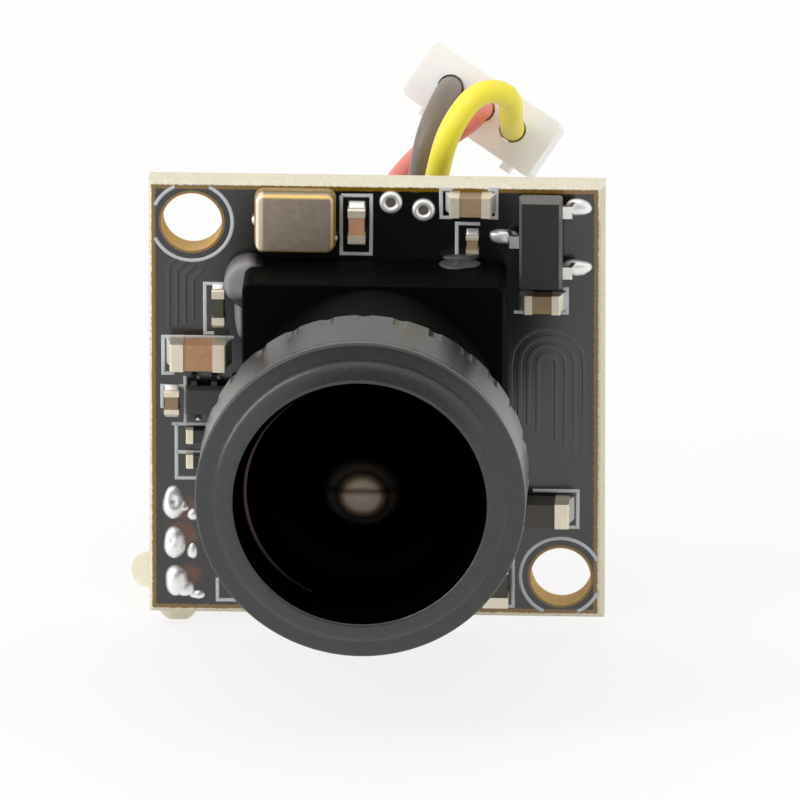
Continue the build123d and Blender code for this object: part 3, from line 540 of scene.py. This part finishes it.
# Wires: one smooth line each, from the back of the board to the plug
wireSet = {
    "diameter": 0.8, "roundSteps": 5, "lineSteps": 12,
    "wires": {
        "wire_red": {
            "mat": "pvcRed", "slot": "red_insulation", "length": 31.65,
            "route": [(-6.78, 0.0, -3.74), (-6.78, 3.2, -3.74), (-6.7, 7.2, -3.6), (-6.1, 11.0, -2.4),
                      (-4.6, 13.2, 0.0), (-2.7, 12.6, 2.3), (-1.3, 9.8, 3.5), (-0.1, 7.0, 4.4),
                      (0.75, 5.5, 6.0), (1.7, 4.6, 7.2), (2.8, 4.55, 7.9), (3.19, 5.56, 8.14),
                      (3.19, 6.876, 7.663)],
        },
        "wire_black": {
            "mat": "pvcBlack", "slot": "black_insulation", "length": 31.29,
            "route": [(-6.76, 0.0, -5.15), (-6.76, 3.2, -5.15), (-6.2, 7.2, -4.9), (-5.0, 10.6, -3.4),
                      (-3.0, 11.4, -0.2), (-1.1, 9.0, 2.4), (0.4, 5.9, 3.8), (1.2, 3.6, 5.9),
                      (1.5, 3.3, 8.0), (2.142, 5.511, 8.884), (2.142, 7.109, 8.303)],
        },
        "wire_yellow": {
            "mat": "pvcYellow", "slot": "yellow_insulation", "length": 33.03,
            "route": [(-6.65, 0.0, -6.56), (-6.65, 2.8, -6.56), (-5.6, 6.2, -6.3), (-3.8, 8.8, -4.2),
                      (-1.7, 9.2, -0.4), (0.35, 6.4, 2.2), (1.55, 3.7, 4.8), (1.9, 2.4, 7.0),
                      (2.3, 2.2, 8.5), (3.2, 2.8, 9.65), (4.3, 3.65, 9.3), (4.238, 4.858, 7.673),
                      (4.238, 6.643, 7.023)],
        },
    },
}


def layWire(name, wire, s):
    curve = bpy.data.curves.new(name + "_line", "CURVE")
    curve.dimensions = "3D"
    curve.bevel_depth = s["diameter"] / 2 * mm
    curve.bevel_resolution = s["roundSteps"]
    curve.resolution_u = s["lineSteps"]
    curve.use_fill_caps = True
    spline = curve.splines.new("NURBS")
    spline.points.add(len(wire["route"]) - 1)
    for point, at in zip(spline.points, wire["route"]):
        point.co = (at[0] * mm, at[1] * mm, at[2] * mm, 1)
    spline.order_u = 3
    spline.use_endpoint_u = True
    curve.materials.append(mats[wire["mat"]])
    lead = bpy.data.objects.new(name + "_lead", curve)
    scene.collection.objects.link(lead)
    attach(lead, "board")
    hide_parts(name)


for name, wire in wireSet["wires"].items():
    layWire(name, wire, wireSet)
print("wires laid")


# Strokes in the board's plane: flattened rods half sunk in the face, or flat ridges where squared
strokeSet = {"rodSteps": 1, "squareSteps": 5, "topShare": 0.15}


def strokeMesh(strokes, width, height, y, squared=False):
    curve = bpy.data.curves.new("strokes", "CURVE")
    curve.dimensions = "2D"
    curve.fill_mode = "NONE"
    curve.bevel_depth = width / 2 * mm
    curve.bevel_resolution = strokeSet["squareSteps" if squared else "rodSteps"]
    curve.use_fill_caps = True
    for points in strokes:
        spline = curve.splines.new("POLY")
        spline.points.add(len(points) - 1)
        for point, (x, z) in zip(spline.points, points):
            point.co = (x * mm, z * mm, 0, 1)
    holder = bpy.data.objects.new("strokes", curve)
    scene.collection.objects.link(holder)
    bpy.context.view_layer.update()
    mesh = bpy.data.meshes.new_from_object(holder.evaluated_get(bpy.context.evaluated_depsgraph_get()))
    bm = bmesh.new()
    bm.from_mesh(mesh)
    bpy.data.objects.remove(holder)
    bpy.data.curves.remove(curve)
    bpy.data.meshes.remove(mesh)
    if squared:
        # a flat top with upright sides
        for v in bm.verts:
            v.co.z = math.copysign(width / 2, v.co.z - strokeSet["topShare"] * width * mm) * mm
    bmesh.ops.scale(bm, vec=(1, 1, 2 * height / width), verts=bm.verts)
    bmesh.ops.rotate(bm, matrix=Matrix.Rotation(math.pi / 2, 3, "X"), verts=bm.verts)
    bmesh.ops.translate(bm, vec=(0, y * mm, 0), verts=bm.verts)
    return bm


# Printed lines: boxes round the parts and rings round the mounting holes
printSet = {
    "width": 0.13, "height": 0.015,
    "ringR": 1.35, "ringSteps": 72, "limit": 7.4,
    "front": [
        [(-1.18, 7.15), (-0.18, 7.16), (-0.18, 5.11), (-1.18, 5.11), (-1.18, 7.15)],
        [(2.52, 7.41), (2.15, 7.41), (2.15, 6.43), (2.52, 6.43)],
        [(3.7, 7.42), (4.0, 7.42), (4.0, 6.44), (3.7, 6.44)],
        [(3.45, 6.22), (2.68, 6.22), (2.68, 5.09)],
        [(6.22, 3.98), (6.35, 3.98), (6.35, 3.14), (6.02, 3.14)],
        [(4.58, 3.15), (5.05, 3.15)],
        [(-5.08, 3.99), (-5.72, 3.99), (-5.72, 2.26), (-5.42, 2.26)],
        [(-4.75, 2.11), (-7.12, 2.11), (-7.12, 0.83), (-6.75, 0.83)],
        [(-6.42, 0.38), (-7.15, 0.38), (-7.15, -0.4)],
        [(-6.38, 0.74), (-6.38, -0.95)],
        [(-6.84, -0.95), (-5.68, -0.95)],
        [(-6.68, -0.95), (-6.68, -2.85), (-5.88, -2.85)],
        [(-6.68, -1.94), (-5.88, -1.94)],
        [(-5.32, -6.36), (-5.32, -7.14), (-4.68, -7.14)],
        [(5.22, -3.13), (6.72, -3.13), (6.72, -4.4), (6.05, -4.4)],
        [(4.56, -5.55), (4.56, -7.22), (4.12, -7.22)],
    ],
    "back": [
        [(0.5, 0.5), (4.2, 0.5)],
        [(0.5, -2.9), (3.3, -2.9)],
        [(-2.6, 5.06), (-1.2, 5.06)],
        [(-2.6, 1.74), (-1.2, 1.74)],
    ],
    "boxGap": 0.24,
}
# Chip parts on the back: middle across, middle up, length, width, height, turned upright
rearChips = [(-2.6, 6.3, 1.6, 0.8, 0.8, False), (0.9, 4.2, 1.6, 0.8, 0.8, True),
             (2.6, 4.2, 1.0, 0.5, 0.5, True), (-2.0, -0.6, 1.0, 0.5, 0.5, False),
             (-2.0, -2.0, 1.0, 0.5, 0.5, False)]


def holeRings(s):
    # each ring starts towards the board's corner and is cut where it would pass the edge
    strokes = []
    for x, z in maskSet["holes"]:
        run = []
        for i in range(s["ringSteps"] + 1):
            turn = 2 * math.pi * i / s["ringSteps"] + math.atan2(z, x)
            point = (x + s["ringR"] * math.cos(turn), z + s["ringR"] * math.sin(turn))
            if max(abs(point[0]), abs(point[1])) < s["limit"]:
                run.append(point)
            else:
                strokes.append(run)
                run = []
        strokes.append(run)
    return [run for run in strokes if len(run) > 1]


def printLines(s):
    bm = strokeMesh(s["front"] + holeRings(s), s["width"], s["height"], boardFront)
    makePiece("printed_lines", bm, "ink", "board")
    boxes = []
    for x, z, length, width, height, upright in rearChips:
        along, across = length / 2 + s["boxGap"], width / 2 + s["boxGap"]
        w, h = (across, along) if upright else (along, across)
        boxes.append([(x - w, z - h), (x + w, z - h), (x + w, z + h), (x - w, z + h), (x - w, z - h)])
    bm = strokeMesh(s["back"] + boxes + holeRings(s), s["width"], s["height"], boardBack)
    makePiece("printed_lines_back", bm, "ink", "board")


printLines(printSet)
print("lines printed")


# Solder at the chip ends: a wedge from each end face down to its pad
# climb and cover are shares of the chip's height and width
wedgeSet = {"reach": 0.17, "tuck": 0.02, "climb": 0.6, "cover": 0.94, "toe": 0.05, "foot": 0.001, "soft": 0.04}


def addWedge(bm, centre, out, normal, width, climb, s):
    # centre is the foot of the end face, out points away from the chip along the face of the board
    made = bmesh.ops.create_cube(bm, size=1.0)["verts"]
    side = out.cross(normal)
    for v in made:
        a, b, c = v.co.x + 0.5, v.co.y, v.co.z + 0.5
        rise = s["toe"] if a > 0.5 else climb
        v.co = (centre + out * (a * s["reach"] - s["tuck"]) + side * (b * width) + normal * (c * rise)) * mm
    faces = list(dict.fromkeys(f for v in made for f in v.link_faces))
    foot = (centre.y + normal.y * s["foot"]) * mm
    edges = [e for e in edgesOf(made) if any((v.co.y - foot) * normal.y > 0 for v in e.verts)]
    bmesh.ops.recalc_face_normals(bm, faces=faces)
    bmesh.ops.bevel(bm, geom=edges, offset=s["soft"] * mm, segments=2, profile=0.5, affect="EDGES", material=-1)


def solderChip(bm, middle, length, width, height, upright, normal, s):
    # both ends of one chip
    for way in (-1, 1):
        out = Vector((0, 0, way)) if upright else Vector((way, 0, 0))
        addWedge(bm, middle + out * length / 2, out, normal, width * s["cover"], height * s["climb"], s)


def solderEnds(s):
    bm = bmesh.new()
    for name in sorted(nodes):
        if not name.endswith("_terminals") or name.startswith(("plug", "rear", "upper", "lower")):
            continue
        low, high = (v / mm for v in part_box(name))
        size = high - low
        middle = Vector(((low.x + high.x) / 2, boardFront, (low.z + high.z) / 2))
        solderChip(bm, middle, max(size.x, size.z), min(size.x, size.z), size.y, size.z >= size.x,
                   Vector((0, -1, 0)), s)
    for x, z, length, width, height, upright in rearChips:
        solderChip(bm, Vector((x, boardBack, z)), length, width, height, upright, Vector((0, 1, 0)), s)
    makePiece("chip_solder", bm, "solder", "board")


solderEnds(wedgeSet)
print("chip ends soldered")


# Soft lumps: a ball drawn out to its size, then rippled, and dented where it has a hollow
# each ripple has its turns over the ball and a shift with the lump's place
lumpSet = {"fineness": 3, "turnsX": 3.1, "shiftX": 5.3, "turnsZ": 3.7, "shiftZ": 4.1}


def addLump(bm, at, size, ripple=0.06, dents=()):
    s = lumpSet
    for v in bmesh.ops.create_icosphere(bm, subdivisions=s["fineness"], radius=1.0)["verts"]:
        d = v.co.copy()
        swell = 1 + ripple * (math.sin(s["turnsX"] * d.x + s["shiftX"] * at[0])
                              + math.sin(s["turnsZ"] * d.z + s["shiftZ"] * at[2]))
        for dx, dz, wide, deep in dents:
            away = math.hypot(d.x - dx, d.z - dz)
            if d.y < 0 and away < wide:
                swell -= deep * (1 - away / wide)
        v.co = Vector([a + b * c * swell for a, b, c in zip(at, size, d)]) * mm


# Wire joints: bright solder on three pads, with spatter beside them
# each lump has its place, size and dents: across, up, width, depth
jointSet = {
    "lumps": [
        ((-6.78, -1.0, -3.72), (0.4, 0.36, 0.55), [(0.12, 0.35, 0.62, 0.62)]),
        ((-6.44, -1.0, -3.83), (0.18, 0.24, 0.2), []),
        ((-6.15, -1.0, -4.13), (0.17, 0.16, 0.24), []),
        ((-6.74, -1.0, -5.12), (0.41, 0.36, 0.52), [(-0.25, 0.3, 0.34, 0.5)]),
        ((-6.16, -1.0, -5.42), (0.17, 0.16, 0.3), []),
        ((-6.68, -1.0, -6.46), (0.42, 0.38, 0.5), []),
        ((-6.38, -1.0, -6.72), (0.3, 0.28, 0.3), []),
        ((-6.0, -1.0, -6.95), (0.26, 0.15, 0.16), []),
    ],
}


def solderJoints(s):
    bm = bmesh.new()
    for at, size, dents in s["lumps"]:
        addLump(bm, at, size, dents=dents)
    piece = makePiece("wire_joint_solder", bm, "solder", "board")
    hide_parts("wire_solder_joints")


solderJoints(jointSet)

# Solder at the feet of the leads: place and size of each lump on the front, rows of feet on the back
footSet = {
    "front": [
        ((6.72, -1.0, 6.86), (0.44, 0.24, 0.31)),
        ((6.68, -1.0, 4.74), (0.48, 0.24, 0.31)),
        ((4.25, -1.0, 5.81), (0.5, 0.24, 0.23)),
        ((-1.36, -1.2, 5.72), (0.08, 0.12, 0.1)),
        ((-4.06, -1.15, 6.3), (0.09, 0.15, 0.17)),
        ((-5.98, -1.0, 0.72), (0.12, 0.16, 0.1)),
        ((-5.27, -1.0, 0.72), (0.12, 0.16, 0.1)),
        ((-5.95, -1.0, -0.72), (0.12, 0.16, 0.1)),
    ],
    "back": {
        "memory": {"at": (1.9, -1.2), "reach": 2.28, "size": (0.3, 0.13, 0.17),
                   "left": (-0.975, -0.325, 0.325, 0.975), "right": (-0.975, -0.325, 0.325, 0.975)},
        "regulator": {"at": (-1.9, 3.4), "reach": 1.3, "size": (0.3, 0.15, 0.26),
                      "left": (-0.95, 0, 0.95), "right": (-0.95, 0.95)},
    },
}


def solderFeet(s):
    bm = bmesh.new()
    for at, size in s["front"]:
        addLump(bm, at, size)
    for chip in s["back"].values():
        x, z = chip["at"]
        for way, rows in ((-1, chip["left"]), (1, chip["right"])):
            for row in rows:
                addLump(bm, (x + way * chip["reach"], boardBack, z + row), chip["size"])
    makePiece("lead_solder", bm, "solder", "board")


solderFeet(footSet)

# Adhesive: a smear on the top side of the holder, a run beside it and a soft cap over its left lug
dabSet = {
    "smear": [((2.62, -1.55, 4.98), (0.52, 0.5, 0.11)), ((3.05, -1.5, 4.98), (0.42, 0.42, 0.1)),
              ((2.8, -1.0, 5.03), (0.6, 0.2, 0.12))],
    "smearRipple": 0.05,
    "run": [((-4.5, -1.2, 3.1), (0.24, 0.4, 0.9))],
    "runRipple": 0.03,
    "cap": {"at": (-4.22, -1.52, 4.27), "radius": 0.83, "height": 1.08, "soft": 0.24, "steps": 48},
}


def spreadAdhesive(s):
    bm = bmesh.new()
    for at, size in s["smear"]:
        addLump(bm, at, size, s["smearRipple"])
    piece = makePiece("adhesive_smear", bm, "adhesive", "board")
    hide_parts("holder_adhesive")
    bm = bmesh.new()
    for at, size in s["run"]:
        addLump(bm, at, size, s["runRipple"])
    makePiece("adhesive_run", bm, "adhesivePale", "board")
    bm = bmesh.new()
    cap = s["cap"]
    turn = Matrix.Translation(Vector(cap["at"]) * mm) @ Matrix.Rotation(math.pi / 2, 4, "X")
    made = bmesh.ops.create_cone(bm, cap_ends=True, segments=cap["steps"], radius1=cap["radius"] * mm,
                                 radius2=cap["radius"] * mm, depth=cap["height"] * mm, matrix=turn)["verts"]
    edges = [e for e in edgesOf(made) if max(v.co.y for v in e.verts) < cap["at"][1] * mm]
    bmesh.ops.bevel(bm, geom=edges, offset=cap["soft"] * mm, segments=5, profile=0.5, affect="EDGES",
                    material=-1)
    makePiece("adhesive_lump", bm, "adhesiveCap", "board")


spreadAdhesive(dabSet)
print("solder and adhesive laid")


# Beads: a small round section spun about an axis along y
def addBead(bm, centre, radius, thick, steps, start=0, sweep=360):
    # angles in degrees, from +x towards +z
    made = bmesh.ops.create_circle(bm, segments=12, radius=thick * mm)["verts"]
    bmesh.ops.translate(bm, vec=Vector((radius, 0, 0)) * mm, verts=made)
    bmesh.ops.rotate(bm, matrix=Matrix.Rotation(-math.radians(start), 3, "Y"), verts=made)
    bmesh.ops.translate(bm, vec=Vector(centre) * mm, verts=made)
    bmesh.ops.spin(bm, geom=made + edgesOf(made), cent=Vector(centre) * mm, axis=(0, -1, 0),
                   angle=math.radians(sweep), steps=steps, use_merge=sweep == 360)


# Ground edge of the front glass with its painted glint, a pale dot on the ring, and the rims of the test points
# with painted shade in their bores
beadSet = {
    # the glint's arc runs only round the left side, where the light falls on the edge
    "glass": {"centre": (0, -12.36, lensUp), "radius": 3.85, "thick": 0.065, "steps": 64,
              "start": 115, "sweep": 130},
    "paleDot": {"at": (3.16, -13.53, 3.485), "size": (0.06, 0.05, 0.07)},
    "eyelets": [(0.48, -1.06, 6.95), (1.57, -1.06, 6.7)],
    "rim": {"radius": 0.27, "thick": 0.115, "steps": 32},
    "bore": (0.17, 0.05, 0.17),
}


def roundEdges(s):
    bm = bmesh.new()
    addBead(bm, **s["glass"])
    bmesh.ops.recalc_face_normals(bm, faces=bm.faces)
    makePiece("glass_edge", bm, "glassEdge", "lens")
    bm = bmesh.new()
    addLump(bm, **s["paleDot"])
    makePiece("ring_pale_dot", bm, "paleDot", "lens")
    bm = bmesh.new()
    for centre in s["eyelets"]:
        addBead(bm, centre, **s["rim"])
    bmesh.ops.recalc_face_normals(bm, faces=bm.faces)
    makePiece("test_point_rims", bm, "solder", "board")
    # the bores are filled with painted shade
    bm = bmesh.new()
    for centre in s["eyelets"]:
        addLump(bm, centre, s["bore"])
    makePiece("test_point_bores", bm, "eyeletFill", "board")


roundEdges(beadSet)
print("edges rounded")


# Front of the lens head: crowned ring, a small shoulder and a sloped rim, turned from one section
# each point is a radius and a depth behind the flat rim of the barrel
faceSet = {
    "steps": 160,
    "section": [(4.16, -0.3), (4.22, -0.375), (4.29, -0.39), (4.35, -0.376), (4.6, -0.274), (4.68, -0.24),
                (4.75, -0.203), (4.81, -0.162), (4.86, -0.118), (4.91, -0.094), (5.0, -0.078), (5.3, -0.012),
                (5.36, 0.0), (5.41, 0.022), (5.444, 0.06), (5.457, 0.12), (5.457, 0.3), (5.446, 0.42),
                (4.6, 0.42)],
}


def turnFace(s):
    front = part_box("lens_barrel")[0].y / mm
    bm = bmesh.new()
    outline = [bm.verts.new(Vector((r, front + y, lensUp)) * mm) for r, y in s["section"]]
    edges = [bm.edges.new((outline[i - 1], outline[i])) for i in range(len(outline))]
    bmesh.ops.spin(bm, geom=outline + edges, cent=Vector((0, 0, lensUp)) * mm, axis=(0, -1, 0),
                   angle=2 * math.pi, steps=s["steps"], use_merge=True)
    bmesh.ops.recalc_face_normals(bm, faces=bm.faces)
    makePiece("head_face", bm, "face", "lens")


turnFace(faceSet)
print("head faced")


# Copper tracks under the mask: low flat ridges, a shade paler than the bare board
# a fan of bent lines on the left, and loops one inside the other on the right
trackSet = {
    "width": 0.17, "height": 0.004,
    "left": {"x": -6.95, "step": 0.27, "count": 4, "top": 4.6, "topDrop": 0.15, "low": 2.4, "lowRise": 0.1,
             "bend": 0.35},
    "right": {"at": (5.7, 0.5), "step": 0.31, "count": 4, "tall": 1.7, "stagger": 0.2, "arcSteps": 8},
}


def layTracks(s):
    strokes = []
    fan = s["left"]
    for i in range(fan["count"]):
        x, top = fan["x"] + i * fan["step"], fan["top"] - fan["topDrop"] * i
        strokes.append([(x, fan["low"] + fan["lowRise"] * i), (x, top), (x + fan["bend"], top + fan["bend"])])
    loop = s["right"]
    x, z = loop["at"]
    for i in range(1, loop["count"] + 1):
        r, shift = i * loop["step"], loop["stagger"] * i
        turns = [t * math.pi / loop["arcSteps"] for t in range(loop["arcSteps"] + 1)]
        arc = [(x + r * math.cos(t), z + loop["tall"] / 2 + r * math.sin(t)) for t in turns]
        strokes.append([(x + r, z - loop["tall"] - shift)] + arc + [(x - r, z - loop["tall"] + shift)])
    bm = strokeMesh(strokes, s["width"], s["height"], boardFront, squared=True)
    makePiece("copper_tracks", bm, "maskPlain", "board", smooth=False)


layTracks(trackSet)
print("tracks laid")


# Floor and light: a white sweep under even studio light, with a broad lamp overhead and a narrow one
# on the left
stageSet = {
    "floorZ": -8.2, "floorSize": 4000, "floor": "#f7f5f2", "glow": 0.78,
    "lamps": {"overheadLamp": {"at": (-60, -140, 420), "size": (320, 320), "watts": 0.1, "roll": 0},
              "sideLamp": {"at": (-280, -136, 154), "size": (80, 380), "watts": 0.5, "roll": -26}},
    "skyLow": 0.77, "skyHigh": 0.9, "skyFrom": -0.1, "skyTo": 0.8,
    "shadeAt": (2.5, 11), "shadeWide": 34, "shadeCore": 12, "shade": 0.92,
}


def seenRays(owner):
    # the paths on which the white ground is looked at: straight, mirrored or through glass
    path = addNode(owner, "ShaderNodeLightPath", {}).outputs
    seen = path["Is Camera Ray"]
    for kind in ("Is Glossy Ray", "Is Transmission Ray"):
        seen = addNode(owner, "ShaderNodeMath", {0: seen, 1: path[kind]}, operation="MAXIMUM").outputs[0]
    return seen, path


def layFloor(s):
    bm = bmesh.new()
    bmesh.ops.create_grid(bm, x_segments=1, y_segments=1, size=s["floorSize"] / 2 * mm)
    bmesh.ops.translate(bm, vec=(0, 0, s["floorZ"] * mm), verts=bm.verts)
    mesh = bpy.data.meshes.new("floor")
    bm.to_mesh(mesh)
    bm.free()
    # white paper: to the eye it is nearly white, and it keeps a faint shadow
    mat = newMaterial("studioPaperWhite", Base_Color=fromHex(s["floor"]), Roughness=0.9)
    tree = mat.node_tree
    seen = seenRays(mat)[0]
    share = addNode(mat, "ShaderNodeMath", {0: seen, 1: s["glow"]}, operation="MULTIPLY")
    white = addNode(mat, "ShaderNodeEmission", {"Color": (1, 1, 1, 1), "Strength": 1.0})
    both = addNode(mat, "ShaderNodeMixShader",
                   {0: share.outputs[0], 1: tree.nodes["Principled BSDF"].outputs[0], 2: white.outputs[0]})
    tree.links.new(both.outputs[0], tree.nodes["Material Output"].inputs["Surface"])
    mesh.materials.append(mat)
    floor = bpy.data.objects.new("floor", mesh)
    scene.collection.objects.link(floor)


def hangLamps(s):
    for name, lampSet in s["lamps"].items():
        lamp = bpy.data.lights.new(name, "AREA")
        lamp.shape = "RECTANGLE"
        lamp.size, lamp.size_y = (side * mm for side in lampSet["size"])
        lamp.energy = lampSet["watts"]
        holder = bpy.data.objects.new(name, lamp)
        holder.location = Vector(lampSet["at"]) * mm
        facing = Vector(lampSet["at"]).to_track_quat("Z", "Y")
        holder.rotation_euler = (facing @ Quaternion((0, 0, 1), math.radians(lampSet["roll"]))).to_euler()
        scene.collection.objects.link(holder)


def lightSky(s):
    world = bpy.data.worlds.new("studio")
    scene.world = world
    world.use_nodes = True
    background = world.node_tree.nodes["Background"]
    place = addNode(world, "ShaderNodeTexCoord", {}).outputs["Generated"]
    axes = addNode(world, "ShaderNodeSeparateXYZ", {"Vector": place}).outputs
    sky = addNode(world, "ShaderNodeMapRange",
                  {"Value": axes["Z"], "From Min": s["skyFrom"], "From Max": s["skyTo"],
                   "To Min": s["skyLow"], "To Max": s["skyHigh"]})
    seen, path = seenRays(world)
    level = addNode(world, "ShaderNodeMix", {"Factor": seen, "A": sky.outputs[0], "B": 1.0}, data_type="FLOAT")
    # a dark patch stands before the object: it is seen only in its gloss
    facing = addNode(world, "ShaderNodeVectorMath", {0: place, 1: tuple(towards(*s["shadeAt"]))},
                     operation="DOT_PRODUCT")
    shade = addNode(world, "ShaderNodeMapRange",
                    {"Value": facing.outputs["Value"], "From Min": math.cos(math.radians(s["shadeWide"])),
                     "From Max": math.cos(math.radians(s["shadeCore"])), "To Max": s["shade"]})
    gloss = addNode(world, "ShaderNodeMath", {0: shade.outputs[0], 1: path["Is Glossy Ray"]},
                    operation="MULTIPLY")
    left = addNode(world, "ShaderNodeMath", {0: 1.0, 1: gloss.outputs[0]}, operation="SUBTRACT")
    lit = addNode(world, "ShaderNodeMath", {0: level.outputs[0], 1: left.outputs[0]}, operation="MULTIPLY")
    background.inputs["Color"].default_value = (1, 1, 1, 1)
    world.node_tree.links.new(lit.outputs[0], background.inputs["Strength"])


layFloor(stageSet)
hangLamps(stageSet)
lightSky(stageSet)
scene.view_settings.view_transform = "Standard"
print("stage set")
